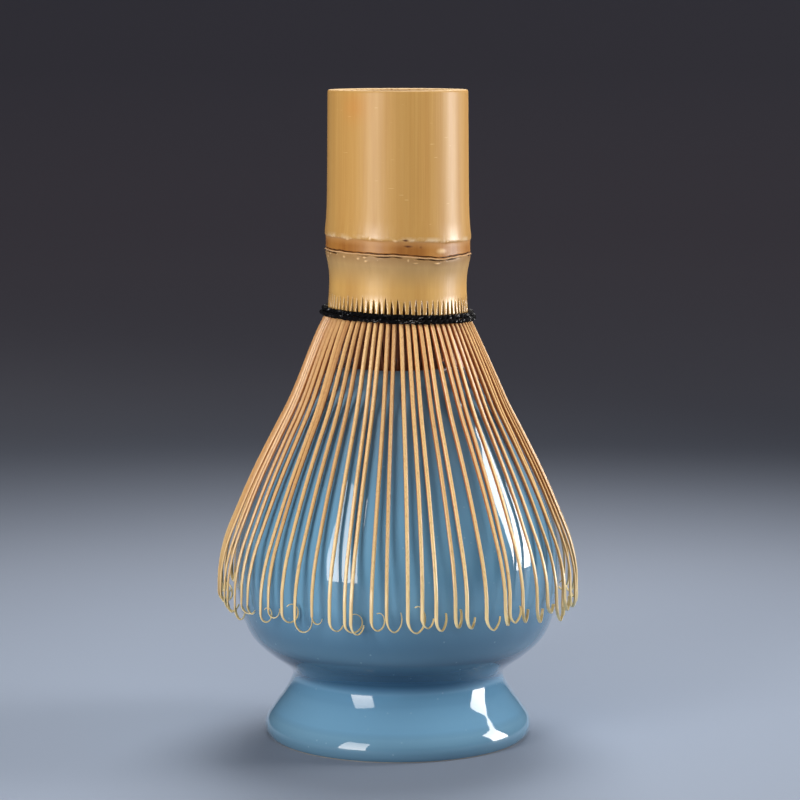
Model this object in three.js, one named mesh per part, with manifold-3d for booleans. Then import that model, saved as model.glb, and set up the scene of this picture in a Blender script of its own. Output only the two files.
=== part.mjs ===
// A bamboo tea whisk standing on its glazed ceramic holder.
// Millimetres, +Z up. The origin is the centre of the holder's foot, on the surface it stands on.
// The whisk is one bamboo culm with a node. Below the node it is split into an outer and an inner
// row of tines, and a black thread wound round the splits holds the two rows apart.
import * as THREE from "three";
import { mergeVertices } from "three/addons/utils/BufferGeometryUtils.js";
import Module from "manifold-3d";

const wasm = await Module();
wasm.setup();

// ---- driving dimensions -------------------------------------------------------------------

const GAP = 0.3; // kept between pieces that touch in the real object
const ROUND_STEPS = 36; // facets round the handle, the holder and the thread

// Handle: a length of culm with its node low down.
const TOP_Z = 126;
const TOP_R = 13.5;
const EDGE_CHAMFER = 0.35;
const NODE_Z = 95; // the dark crack round the culm, under the node's ridge
const RIDGE_R = 14.1;
const NECK_R = 13.3;
const SPLIT_Z = 86.2; // where the splits start and the tines take over from the culm
const BORE_R = 10.2; // hollow above the node's diaphragm
const DIAPHRAGM_TOP_Z = 97.2;
const DIAPHRAGM_LOW_Z = 94.4;

// The node, the splits and the thread run a little askew on this culm, lower on the +X side.
const SLANT = THREE.MathUtils.degToRad(2);
const SLANT_LOW = [68, 80]; // the slant fades in between these heights
const SLANT_HIGH = [100, 112]; // and out again between these

// Tines: the culm is split into primary pieces, each of these into outer and inner tines.
const SPLITS = 18;
const TINES_PER_SPLIT = 4;
const TINES = SPLITS * TINES_PER_SPLIT;
const PITCH = (2 * Math.PI) / TINES;
const ROOT_HEIGHT = 1.6; // unsplit strip that holds one split's tines together
const OUTER_ROOT = [12.4, 13.5]; // inner and outer radius of that strip
const INNER_ROOT = [10.8, 11.8];

// Outer tines: radius and height of the middle line, from the root to the start of the curl.
const OUTER_STEM = [
  [13.0, SPLIT_Z - ROOT_HEIGHT / 2],
  [13.45, 82.6],
  [14.6, 81.1],
  [24.3, 60.0],
  [33.9, 38.7],
  [35.2, 33.0],
  [35.3, 28.3],
];
const OUTER_WIDTH = [0.8, 0.5]; // at the root and at the tip
const OUTER_THICKNESS = [0.42, 0.2];
const CURL_R = 1.85; // radius of the curled tip
const CURL_CLOSING = 0.3; // share of that radius lost by the end of the curl
const CURL_STEPS = 6;
const CURL_SWEEP = THREE.MathUtils.degToRad(275);
const CURL_TURN = THREE.MathUtils.degToRad(50); // how far the curl faces sideways
const CURL_TURN_SPREAD = THREE.MathUtils.degToRad(9); // no two neighbours turn alike
const CURL_DROP_SPREAD = 0.4; // nor end at the same height
const TWIST_FROM_Z = 45; // the tines start to twist into the curl's direction here

// Inner tines: thinner, drawn together so that they hang inside the holder's mouth.
const INNER_STEM = [
  [11.3, SPLIT_Z - ROOT_HEIGHT / 2],
  [11.4, 82.6],
  [8.5, 74.5],
  [5.6, 50.0],
];
const INNER_WIDTH = [0.42, 0.26];
const INNER_THICKNESS = [0.3, 0.18];

// Thread: two rounds outside the outer tines, one round between the two rows, and the knot.
const UPPER_ROUND = { inner: 13.95, outer: 14.5, low: 83.15, high: 83.95 };
const LOWER_ROUND = { inner: 14.3, outer: 14.8, low: 82.1, high: 82.9 };
const INSIDE_ROUND = { inner: 12.15, outer: 12.85, low: 82.5, high: 83.5 };
const KNOT = { radius: 0.85, from_axis: 12.7, z: 80.9 };

// Holder: radius and height of the outside, from the foot to the crest of the mouth.
const HOLDER_OUTSIDE = [
  [25.4, 0],
  [26.1, 2.0],
  [24.9, 4.7],
  [22.5, 8.1],
  [20.9, 11.2],
  [20.8, 12.8],
  [22.4, 14.7],
  [26.2, 17.4],
  [30.0, 22.0],
  [31.8, 33.0],
  [29.7, 44.6],
  [22.6, 60.0],
  [16.2, 69.4],
  [10.5, 72.7],
];
const HOLDER_WALL = 3;
const LIP_STEPS = 4;

// ---- materials ----------------------------------------------------------------------------

const bamboo = () => new THREE.MeshStandardMaterial({ color: 0xc79c62, roughness: 0.42, metalness: 0 });
const outerSplit = () => new THREE.MeshStandardMaterial({ color: 0xc9ae83, roughness: 0.5, metalness: 0 });
const innerSplit = () => new THREE.MeshStandardMaterial({ color: 0xa9794a, roughness: 0.6, metalness: 0 });
const blackThread = () => new THREE.MeshStandardMaterial({ color: 0x17171a, roughness: 0.8, metalness: 0 });
const blueGlaze = () => new THREE.MeshStandardMaterial({ color: 0x6f9dbb, roughness: 0.12, metalness: 0 });

// ---- helpers ------------------------------------------------------------------------------

const between = (pair, share) => THREE.MathUtils.lerp(pair[0], pair[1], share);

/** Lowers the +X side of a geometry, and raises its -X side, as this culm's node and splits run. */
function slanted(geometry) {
  const position = geometry.getAttribute("position");
  for (let i = 0; i < position.count; i++) {
    const z = position.getZ(i);
    const fadeIn = THREE.MathUtils.smoothstep(z, ...SLANT_LOW);
    const fadeOut = 1 - THREE.MathUtils.smoothstep(z, ...SLANT_HIGH);
    position.setZ(i, z - position.getX(i) * Math.tan(SLANT) * fadeIn * fadeOut);
  }
  geometry.computeVertexNormals();
  return geometry;
}

/** Revolves a closed outline of [radius, z] points round the Z axis. */
function revolved(outline) {
  const points = outline.map(([r, z]) => new THREE.Vector2(r, z));
  return new THREE.LatheGeometry(points, ROUND_STEPS).rotateX(Math.PI / 2);
}

/** A geometry as a solid, with its shared vertices merged. */
function solid(geometry) {
  const bare = geometry.clone().deleteAttribute("normal").deleteAttribute("uv");
  const merged = mergeVertices(bare, 1e-4);
  return new wasm.Manifold(
    new wasm.Mesh({
      numProp: 3,
      vertProperties: merged.getAttribute("position").array,
      triVerts: Uint32Array.from(merged.index.array),
    }),
  );
}

/** The geometry of several overlapping closed geometries, joined into one body. */
function joined(geometries) {
  const body = geometries.map(solid).reduce((all, next) => all.add(next));
  const mesh = body.getMesh();
  return new THREE.BufferGeometry()
    .setAttribute("position", new THREE.BufferAttribute(mesh.vertProperties, 3))
    .setIndex(new THREE.BufferAttribute(mesh.triVerts, 1));
}

/** A thin strip along a line of points; `across` gives the direction of its width at each point. */
function strip(points, across, widths, thicknesses) {
  const steps = points.length - 1;
  const geometry = new THREE.BoxGeometry(1, 1, 1, 1, 1, steps);
  const position = geometry.getAttribute("position");
  for (let i = 0; i < position.count; i++) {
    const share = position.getZ(i) + 0.5;
    const k = Math.round(share * steps);
    const ahead = points[Math.min(k + 1, steps)];
    const behind = points[Math.max(k - 1, 0)];
    const along = ahead.clone().sub(behind).normalize();
    const face = along.clone().cross(across[k]).normalize();
    const corner = points[k]
      .clone()
      .addScaledVector(across[k], position.getX(i) * between(widths, share))
      .addScaledVector(face, position.getY(i) * between(thicknesses, share));
    position.setXYZ(i, corner.x, corner.y, corner.z);
  }
  return geometry;
}

/** The strip of wall that one split's tines grow from: a short sector centred on the +X axis. */
function rootStrip([inner, outer]) {
  const half = Math.PI / SPLITS - GAP / 2 / inner;
  const sector = new THREE.Shape();
  sector.absarc(0, 0, outer, -half, half, false);
  sector.absarc(0, 0, inner, half, -half, true);
  const geometry = new THREE.ExtrudeGeometry(sector, {
    depth: ROOT_HEIGHT,
    bevelEnabled: false,
    curveSegments: TINES_PER_SPLIT,
  });
  return geometry.translate(0, 0, SPLIT_Z - GAP - ROOT_HEIGHT);
}

// ---- sub-parts ----------------------------------------------------------------------------

/** The handle: hollow above the node, closed by the node's diaphragm, open below it. */
function handle() {
  const outline = [
    [TOP_R - EDGE_CHAMFER, TOP_Z],
    [BORE_R + EDGE_CHAMFER, TOP_Z],
    [BORE_R, TOP_Z - EDGE_CHAMFER],
    [BORE_R, DIAPHRAGM_TOP_Z + 1.5],
    [BORE_R - 2, DIAPHRAGM_TOP_Z],
    [0, DIAPHRAGM_TOP_Z - 0.6],
    [0, DIAPHRAGM_LOW_Z],
    [BORE_R - 2, DIAPHRAGM_LOW_Z],
    [BORE_R + 0.4, DIAPHRAGM_LOW_Z - 1.5],
    [BORE_R + 0.4, SPLIT_Z],
    [NECK_R + 0.1, SPLIT_Z],
    [NECK_R, SPLIT_Z + 3],
    [NECK_R + 0.2, NODE_Z - 3.2],
    [NECK_R + 0.64, NODE_Z - 0.9],
    [NECK_R + 0.7, NODE_Z - 0.3],
    [NECK_R + 0.3, NODE_Z],
    [NECK_R + 0.55, NODE_Z + 0.35],
    [RIDGE_R - 0.15, NODE_Z + 1.6],
    [RIDGE_R, NODE_Z + 3.1],
    [RIDGE_R - 0.2, NODE_Z + 4.6],
    [TOP_R + 0.22, NODE_Z + 6.8],
    [TOP_R, TOP_Z - EDGE_CHAMFER],
  ];
  return slanted(revolved([...outline, outline[0]]));
}

/** One outer tine in the XZ plane: the stem down from the root, then the curled tip. */
function outerTine(index) {
  const turn = CURL_TURN + CURL_TURN_SPREAD * Math.sin(2.4 * index);
  const drop = CURL_DROP_SPREAD * Math.sin(1.7 * index);
  const points = OUTER_STEM.map(([r, z]) => new THREE.Vector3(r, 0, z));
  const across = points.map((p) => {
    const twist = turn * (1 - THREE.MathUtils.smoothstep(p.z, OUTER_STEM.at(-1)[1], TWIST_FROM_Z));
    return new THREE.Vector3(Math.sin(twist), Math.cos(twist), 0);
  });
  points.at(-1).z += drop;
  const inwards = new THREE.Vector3(-Math.cos(turn), Math.sin(turn), 0);
  const centre = points.at(-1).clone().addScaledVector(inwards, CURL_R);
  for (let step = 1; step <= CURL_STEPS; step++) {
    const share = step / CURL_STEPS;
    const angle = CURL_SWEEP * share;
    const radius = CURL_R * (1 - CURL_CLOSING * share);
    const point = centre.clone().addScaledVector(inwards, -radius * Math.cos(angle));
    point.z -= radius * Math.sin(angle);
    points.push(point);
    across.push(across.at(-1));
  }
  return strip(points, across, OUTER_WIDTH, OUTER_THICKNESS);
}

/** One inner tine in the XZ plane. */
function innerTine() {
  const points = INNER_STEM.map(([r, z]) => new THREE.Vector3(r, 0, z));
  const across = points.map(() => new THREE.Vector3(0, 1, 0));
  return strip(points, across, INNER_WIDTH, INNER_THICKNESS);
}

/** The tines of one primary split on their root strip; `shift` turns the row by part of a pitch. */
function splitPiece(split, root, tine) {
  const pieces = [rootStrip(root)];
  for (let k = 0; k < TINES_PER_SPLIT; k++) {
    const angle = (k - (TINES_PER_SPLIT - 1) / 2) * PITCH;
    pieces.push(tine(split * TINES_PER_SPLIT + k).rotateZ(angle));
  }
  return slanted(joined(pieces).rotateZ(((split + 0.5) * 2 * Math.PI) / SPLITS));
}

/** One round of thread: a ring with its edges rounded off. */
function threadRound({ inner, outer, low, high }) {
  const middle = (inner + outer) / 2;
  const rounding = (high - low) / 4;
  const outline = [
    [outer, low + rounding],
    [outer, high - rounding],
    [middle, high],
    [inner, high - rounding],
    [inner, low + rounding],
    [middle, low],
  ];
  return slanted(revolved([...outline, outline[0]]));
}

/** The thread's knot, tied between the two rows of tines at the back. */
function threadKnot() {
  const knot = new THREE.SphereGeometry(KNOT.radius, 8, 6);
  return slanted(knot.translate(0, KNOT.from_axis, KNOT.z));
}

/** The holder: a pear-shaped hollow bulb on a flared foot, open at the foot and at the mouth. */
function ceramicHolder() {
  const line = new THREE.SplineCurve(HOLDER_OUTSIDE.map(([r, z]) => new THREE.Vector2(r, z)));
  const spans = HOLDER_OUTSIDE.length - 1;
  const outside = line.getPoints(2 * spans).map((p) => [p.x, p.y]);
  const inside = HOLDER_OUTSIDE.map(([r, z], k) => {
    const along = line.getTangent(k / spans);
    return [r - along.y * HOLDER_WALL, z + along.x * HOLDER_WALL];
  });
  inside[0][1] = 0;
  const lip = [];
  const [crestOut, crestIn] = [outside.at(-1), inside.at(-1)];
  const middle = [(crestOut[0] + crestIn[0]) / 2, (crestOut[1] + crestIn[1]) / 2];
  const start = Math.atan2(crestOut[1] - middle[1], crestOut[0] - middle[0]);
  for (let step = 1; step < LIP_STEPS; step++) {
    const angle = start + (Math.PI * step) / LIP_STEPS;
    const reach = HOLDER_WALL / 2;
    lip.push([middle[0] + reach * Math.cos(angle), middle[1] + reach * Math.sin(angle)]);
  }
  return revolved([...outside, ...lip, ...inside.reverse(), outside[0]]);
}

// ---- assembly -----------------------------------------------------------------------------

function named(name, geometry, material) {
  const mesh = new THREE.Mesh(geometry, material);
  mesh.name = name;
  return mesh;
}

const two = (n) => String(n).padStart(2, "0");

const whisk = new THREE.Group();
whisk.add(named("handle", handle(), bamboo()));
for (let split = 0; split < SPLITS; split++) {
  const outer = splitPiece(split, OUTER_ROOT, outerTine);
  whisk.add(named(`outer_tines_${two(split + 1)}`, outer, outerSplit()));
}
for (let split = 0; split < SPLITS; split++) {
  const inner = splitPiece(split, INNER_ROOT, innerTine);
  whisk.add(named(`inner_tines_${two(split + 1)}`, inner, innerSplit()));
}
whisk.add(named("thread_upper_round", threadRound(UPPER_ROUND), blackThread()));
whisk.add(named("thread_lower_round", threadRound(LOWER_ROUND), blackThread()));
whisk.add(named("thread_inside_round", threadRound(INSIDE_ROUND), blackThread()));
whisk.add(named("thread_knot", threadKnot(), blackThread()));

const teaWhiskOnHolder = new THREE.Group();
teaWhiskOnHolder.add(named("ceramic_holder", ceramicHolder(), blueGlaze()));
teaWhiskOnHolder.add(whisk);

export default teaWhiskOnHolder;
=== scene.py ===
# The looks of a bamboo tea whisk standing over its blue glazed ceramic holder.
# Lengths are in millimetres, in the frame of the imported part, and MM turns them into metres.
# Only the studio's own sizes are given in metres.
import math
import random

import bmesh
import bpy
import numpy as np
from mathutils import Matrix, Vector


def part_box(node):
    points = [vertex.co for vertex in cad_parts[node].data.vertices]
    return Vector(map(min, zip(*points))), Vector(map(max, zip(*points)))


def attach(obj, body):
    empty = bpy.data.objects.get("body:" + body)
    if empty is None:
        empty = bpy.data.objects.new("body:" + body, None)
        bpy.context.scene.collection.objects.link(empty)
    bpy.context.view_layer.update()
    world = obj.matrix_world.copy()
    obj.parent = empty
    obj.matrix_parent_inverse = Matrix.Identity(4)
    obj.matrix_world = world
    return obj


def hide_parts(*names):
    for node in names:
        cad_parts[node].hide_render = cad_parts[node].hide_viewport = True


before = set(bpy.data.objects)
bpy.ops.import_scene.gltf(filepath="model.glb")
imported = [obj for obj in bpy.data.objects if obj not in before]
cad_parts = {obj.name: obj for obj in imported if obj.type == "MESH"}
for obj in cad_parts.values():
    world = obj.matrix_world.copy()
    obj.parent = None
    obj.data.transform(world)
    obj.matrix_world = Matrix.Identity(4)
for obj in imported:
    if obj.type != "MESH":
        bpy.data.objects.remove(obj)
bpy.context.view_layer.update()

MM = 0.001
TURN = 2 * math.pi


# ---- camera ---------------------------------------------------------------------------------

CAMERA_BACK = 553.5
CAMERA_HEIGHT = 137.3
CAMERA_RIGHT = 0.4
CAMERA_PITCH_DEG = 7.35
CAMERA_LENS = 129.06


def make_camera():
    camera = bpy.data.objects.new("camera", bpy.data.cameras.new("camera"))
    bpy.context.scene.collection.objects.link(camera)
    camera.data.lens = CAMERA_LENS
    camera.data.sensor_width = 36
    camera.data.clip_start = 0.01
    camera.location = (CAMERA_RIGHT * MM, -CAMERA_BACK * MM, CAMERA_HEIGHT * MM)
    camera.rotation_euler = (math.radians(90 - CAMERA_PITCH_DEG), 0, 0)
    bpy.context.scene.camera = camera


make_camera()


# ---- driving sizes --------------------------------------------------------------------------

TOP_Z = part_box("handle")[1].z / MM
HOLDER_TOP_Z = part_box("ceramic_holder")[1].z / MM
SPLITS = sum(name.startswith("outer_tines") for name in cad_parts)
TINES_PER_SPLIT = 4
TINES = SPLITS * TINES_PER_SPLIT
PITCH = TURN / TINES

# The node, the splits and the thread run a little askew on this culm, lower on the +X side.
SLANT = math.tan(math.radians(2))
SLANT_LOW = (68, 80)
SLANT_HIGH = (100, 112)

NODE_Z = 95.0  # the crack round the node
RIDGE_Z = 97.8  # the raised ridge over it
NOTCH_Z = 86.8  # the tops of the notches between the teeth
WAIST_Z = 12  # the holder's narrowest place

# The culm's skin from the thread to the sawn end: height and radius.
CULM_OUTSIDE = [
    (83.0, 13.62), (84.6, 13.5), (86.2, 13.4), (88.0, 13.3), (89.8, 13.3), (91.4, 13.44),
    (93.0, 13.74), (94.2, 13.97), (95.0, 14.03), (95.8, 13.96), (96.9, 13.95), (97.6, 13.97),
    (97.95, 14.12), (98.6, 14.13), (99.6, 14.0), (101.2, 13.86), (103.5, 13.75), (108.0, 13.66),
    (115.0, 13.6), (126.0, 13.5),
]

# The holder's outside from the foot to the crest of its mouth: radius and height.
HOLDER_OUTSIDE = [
    (25.2, 0.0), (25.8, 0.7), (26.08, 1.6), (26.1, 2.5), (25.75, 3.5), (24.3, 5.6),
    (22.5, 8.1), (21.1, 10.6), (20.7, 12.2), (21.2, 13.4), (22.6, 14.7), (26.2, 17.4),
    (28.9, 20.2), (30.6, 24.2), (31.6, 29.5), (31.8, 34.0), (31.3, 39.2), (29.7, 44.6),
    (26.6, 51.9), (22.6, 60.0), (19.4, 65.9), (16.2, 69.6), (13.4, 71.9), (10.5, 72.8),
]
HOLDER_WALL = 3.0
# The bottom of its wall, from the hollow inside to the flat ring it stands on.
HOLDER_FOOT = [(22.4, 1.2), (22.6, 0.4), (22.9, 0.0), (24.0, 0.0)]

# Middle line of an outer tine down to where its curl starts: radius and height.
OUTER_STEM = [
    (13.44, 83.0), (14.55, 81.1), (16.8, 76.2), (21.2, 65.9), (24.25, 60.0), (28.3, 51.9),
    (31.5, 44.6), (33.85, 38.65), (35.05, 33.4), (35.2, 29.2),
]
# Middle line of an inner tine down to its tip.
INNER_STEM = [
    (12.75, 86.8), (12.5, 84.8), (11.7, 82.8), (10.3, 79.2), (8.55, 74.2), (7.5, 69.5),
    (6.6, 61.0), (5.6, 51.5), (5.1, 49.9),
]


# ---- shapes ---------------------------------------------------------------------------------


def smoothstep(low, high, x):
    t = np.clip((x - low) / (high - low), 0, 1)
    return t * t * (3 - 2 * t)


def slanted(points):
    """Lowers the +X side of the points round the node, the splits and the thread."""
    out = np.array(points, float)
    fade = smoothstep(*SLANT_LOW, out[:, 2]) * (1 - smoothstep(*SLANT_HIGH, out[:, 2]))
    out[:, 2] -= out[:, 0] * SLANT * fade
    return out


CURVE_STEPS = 24  # between two control points


def smooth_line(controls, count):
    """count points evenly spaced on a centripetal Catmull-Rom curve through the control points."""
    p = np.array(controls, float)
    p = np.vstack([2 * p[0] - p[1], p, 2 * p[-1] - p[-2]])
    knots = np.concatenate([[0], np.cumsum(np.linalg.norm(np.diff(p, axis=0), axis=1) ** 0.5)])
    fine = []
    for k in range(1, len(p) - 2):
        t = np.linspace(knots[k], knots[k + 1], CURVE_STEPS, endpoint=False)[:, None]
        a = [
            ((knots[j + 1] - t) * p[j] + (t - knots[j]) * p[j + 1]) / (knots[j + 1] - knots[j])
            for j in (k - 1, k, k + 1)
        ]
        b = [
            ((knots[j + 2] - t) * a[i] + (t - knots[j]) * a[i + 1]) / (knots[j + 2] - knots[j])
            for i, j in ((0, k - 1), (1, k))
        ]
        fine.append(((knots[k + 1] - t) * b[0] + (t - knots[k]) * b[1]) / (knots[k + 1] - knots[k]))
    fine = np.vstack(fine + [p[-2:-1]])
    run = np.concatenate([[0], np.cumsum(np.linalg.norm(np.diff(fine, axis=0), axis=1))])
    at = np.linspace(0, run[-1], count)
    return np.column_stack([np.interp(at, run, fine[:, k]) for k in range(p.shape[1])])


CRISP_DEG = 24


class Builder:
    """Collects the points, faces and per-point values of one closed mesh, in millimetres."""

    def __init__(self, *values):
        self.points, self.faces = [], []
        self.values = {name: [] for name in values}
        self.count = 0

    def add(self, points, **values):
        """Adds points and returns their numbers."""
        points = np.atleast_2d(np.array(points, float))
        self.points.append(points)
        for name, column in self.values.items():
            column.append(np.broadcast_to(np.array(values.get(name, 0.0), float), len(points)))
        first = self.count
        self.count += len(points)
        return np.arange(first, self.count)

    def bridge(self, a, b, closed=True):
        """Four-sided faces between two rows of points."""
        last = len(a) if closed else len(a) - 1
        for k in range(last):
            j = (k + 1) % len(a)
            self.faces.append((a[k], a[j], b[j], b[k]))

    def cap(self, ring):
        """One face over a ring of points."""
        self.faces.append(tuple(ring))

    def fan(self, ring, centre):
        """Three-sided faces from a ring of points to one point."""
        for k in range(len(ring)):
            self.faces.append((ring[k], ring[(k + 1) % len(ring)], centre))

    def linked(self, name, material, slant, crisp=False):
        """The mesh as an object in the scene; crisp keeps its edges over CRISP_DEG degrees sharp."""
        points = np.vstack(self.points)
        if slant:
            points = slanted(points)
        mesh = bpy.data.meshes.new(name)
        faces = [tuple(int(i) for i in face) for face in self.faces]
        mesh.from_pydata((points * MM).tolist(), [], faces)
        for key, column in self.values.items():
            layer = mesh.attributes.new(key, "FLOAT", "POINT")
            layer.data.foreach_set("value", np.concatenate(column).astype(np.float32))
        bm = bmesh.new()
        bm.from_mesh(mesh)
        bmesh.ops.recalc_face_normals(bm, faces=bm.faces)
        bm.to_mesh(mesh)
        bm.free()
        mesh.shade_smooth()
        if crisp:
            mesh.set_sharp_from_angle(angle=math.radians(CRISP_DEG))
        mesh.materials.append(material)
        piece = bpy.data.objects.new(name, mesh)
        bpy.context.scene.collection.objects.link(piece)
        return piece

    def finish(self, name, body, slot, nodes, material, slant=True, crisp=False):
        """The mesh as a piece that rides on its body and stands for its CAD nodes."""
        piece = self.linked(name, material, slant, crisp)
        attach(piece, body)
        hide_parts(*nodes)


def ring_points(angles, radius, z):
    radius = np.broadcast_to(radius, angles.shape)
    z = np.broadcast_to(z, angles.shape)
    return np.column_stack([radius * np.cos(angles), radius * np.sin(angles), z])


def bell(offset, width):
    return np.exp(-((offset / width) ** 2))


def turned_from(place, angles):
    """How far round from a place given in degrees from the front, in degrees, -180 to 180."""
    return (np.degrees(angles) + 90 - place + 180) % 360 - 180


def wobble(angles, seed, counts, size):
    """A smooth random wave round the culm, made of sines with these numbers of waves."""
    draw = random.Random(seed)
    total = np.zeros(len(angles))
    for n in counts:
        total += draw.uniform(0.4, 1) * np.sin(n * angles + draw.uniform(0, TURN))
    return size * total / math.sqrt(len(counts))


# ---- materials ------------------------------------------------------------------------------


def srgb(red, green, blue):
    """A colour as a paint chart gives it, 0 to 255, in Blender's linear values."""
    def linear(c):
        c /= 255
        return c / 12.92 if c <= 0.04045 else ((c + 0.055) / 1.055) ** 2.4
    return (linear(red), linear(green), linear(blue), 1)


class Shader:
    """A material's node tree, with one short method for each kind of node used here."""

    def __init__(self, name, **sockets):
        self.material = bpy.data.materials.new(name)
        self.material.use_nodes = True
        self.tree = self.material.node_tree
        self.bsdf = self.tree.nodes["Principled BSDF"]
        for key, value in sockets.items():
            self.bsdf.inputs[key.replace("_", " ")].default_value = value
        self.place = self.node("TexCoord").outputs["Object"]

    def node(self, kind, **settings):
        made = self.tree.nodes.new("ShaderNode" + kind)
        for key, value in settings.items():
            setattr(made, key, value)
        return made

    def feed(self, socket, value):
        if isinstance(value, bpy.types.NodeSocket):
            self.tree.links.new(value, socket)
        else:
            socket.default_value = value

    def value(self, name):
        return self.node("Attribute", attribute_name=name).outputs["Fac"]

    def stretched(self, x, y, z):
        made = self.node("Mapping")
        self.feed(made.inputs["Vector"], self.place)
        made.inputs["Scale"].default_value = (x, y, z)
        return made.outputs["Vector"]

    def noise(self, vector, scale, detail=2.0, roughness=0.5):
        made = self.node("TexNoise")
        self.feed(made.inputs["Vector"], vector)
        made.inputs["Scale"].default_value = scale
        made.inputs["Detail"].default_value = detail
        made.inputs["Roughness"].default_value = roughness
        return made.outputs["Fac"]

    def cells(self, vector, scale):
        made = self.node("TexVoronoi")
        self.feed(made.inputs["Vector"], vector)
        made.inputs["Scale"].default_value = scale
        return made.outputs["Distance"]

    def ramp(self, factor, *stops):
        made = self.node("ValToRGB")
        self.feed(made.inputs["Fac"], factor)
        elements = made.color_ramp.elements
        while len(elements) < len(stops):
            elements.new(0.5)
        for element, (position, colour) in zip(elements, stops):
            element.position = position
            element.color = colour if isinstance(colour, tuple) else (colour, colour, colour, 1)
        return made.outputs["Color"]

    def spread(self, value, low, high, to_low=0.0, to_high=1.0):
        """Turns low to high of the value into to_low to to_high, and holds it there beyond them."""
        made = self.node("MapRange", clamp=True)
        self.feed(made.inputs["Value"], value)
        ends = {"From Min": low, "From Max": high, "To Min": to_low, "To Max": to_high}
        for key, number in ends.items():
            made.inputs[key].default_value = number
        return made.outputs["Result"]

    def mix(self, factor, a, b):
        made = self.node("Mix", data_type="RGBA")
        self.feed(made.inputs[0], factor)
        self.feed(made.inputs[6], a)
        self.feed(made.inputs[7], b)
        return made.outputs[2]

    def maths(self, operation, a, b):
        made = self.node("Math", operation=operation)
        self.feed(made.inputs[0], a)
        self.feed(made.inputs[1], b)
        return made.outputs[0]

    def bump(self, height, depth):
        made = self.node("Bump")
        made.inputs["Strength"].default_value = 1.0
        made.inputs["Distance"].default_value = depth * MM
        self.feed(made.inputs["Height"], height)
        return made.outputs["Normal"]

    def finish(self, colour, roughness, normal):
        self.feed(self.bsdf.inputs["Base Color"], colour)
        self.feed(self.bsdf.inputs["Roughness"], roughness)
        self.feed(self.bsdf.inputs["Normal"], normal)
        return self.material


def plain_skin(s, grain):
    """Golden skin with upright fibres and a few pale scratches across them."""
    low, middle, high = srgb(190, 144, 79), srgb(195, 151, 85), srgb(200, 158, 92)
    skin = s.ramp(grain["streak"], (0.3, low), (0.5, middle), (0.7, high))
    skin = s.mix(s.spread(grain["broad"], 0.35, 0.7, 0, 0.3), skin, srgb(190, 143, 74))
    skin = s.mix(s.spread(grain["fibre"], 0.5, 0.75, 0, 0.14), skin, srgb(168, 118, 58))
    skin = s.mix(s.spread(grain["fibre"], 0.42, 0.25, 0, 0.14), skin, srgb(228, 188, 122))
    scratch = s.noise(s.stretched(0.35, 0.35, 3), 1100, 1)
    return s.mix(s.spread(scratch, 0.76, 0.8, 0, 0.5), skin, srgb(236, 206, 150))


def neck_skin(s, grain, level, skin):
    """Greyer skin under the node, a painted shadow in brown just under the node's dark line, and gold
    again over the teeth.
    """
    neck = s.mix(s.spread(grain["streak"], 0.3, 0.7), srgb(184, 150, 98), srgb(174, 140, 90))
    gold = s.mix(s.spread(grain["broad"], 0.3, 0.7), srgb(216, 172, 98), skin)
    neck = s.mix(s.spread(level, NODE_Z - 2.4, NODE_Z - 6.5), neck, gold)
    # Painted shadow: a brown band just under the crack.
    return s.mix(s.spread(level, NODE_Z - 2.1, NODE_Z - 0.7, 0, 0.6), neck, srgb(150, 112, 70))


def node_skin(s, grain, level):
    """The browner band between the crack and the ridge."""
    node = s.mix(s.spread(grain["broad"], 0.35, 0.62), srgb(190, 134, 62), srgb(150, 94, 38))
    node = s.mix(s.spread(grain["streak"], 0.4, 0.65, 0, 0.5), node, srgb(176, 122, 58))
    return s.mix(s.spread(level, RIDGE_Z - 1.3, RIDGE_Z - 0.3, 0, 0.65), node, srgb(186, 138, 82))


def culm_skin(s, grain, level):
    """All of the skin, with its ridge (pale rubbed patches and a painted highlight), warm stain, pale lip
    and spots.
    """
    plain = plain_skin(s, grain)
    under = s.spread(level, NODE_Z - 0.1, NODE_Z - 0.3)
    skin = s.mix(under, plain, neck_skin(s, grain, level, plain))
    over_crack = s.spread(level, NODE_Z - 0.1, NODE_Z + 0.2)
    under_ridge = s.spread(level, RIDGE_Z + 0.2, RIDGE_Z - 0.2)
    skin = s.mix(s.maths("MULTIPLY", over_crack, under_ridge), skin, node_skin(s, grain, level))
    # Painted highlight: a pale rim in patches just over the ridge, where the flare catches the light;
    # partly pale rubbed bamboo.
    rim_low = s.spread(level, RIDGE_Z - 0.15, RIDGE_Z + 0.15)
    rim_high = s.spread(level, RIDGE_Z + 1.0, RIDGE_Z + 0.3, 0, 0.62)
    worn_and_highlight = s.spread(s.noise(s.stretched(1, 1, 1), 330, 4, 0.7), 0.42, 0.62)
    rim = s.maths("MULTIPLY", s.maths("MULTIPLY", rim_low, rim_high), worn_and_highlight)
    skin = s.mix(rim, skin, srgb(232, 210, 174))
    warm = s.maths("MULTIPLY", s.value("warm"), s.spread(grain["blotch"], 0.2, 0.7, 0.2, 0.6))
    skin = s.mix(warm, skin, srgb(206, 132, 58))
    skin = s.mix(s.spread(s.value("lip"), 0.2, 0.9, 0, 0.7), skin, srgb(216, 178, 138))
    skin = s.mix(s.spread(s.value("spot"), 0.1, 0.8), skin, srgb(88, 46, 20))
    return s.mix(s.spread(s.value("spot"), -0.1, -0.8), skin, srgb(234, 196, 142))


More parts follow.
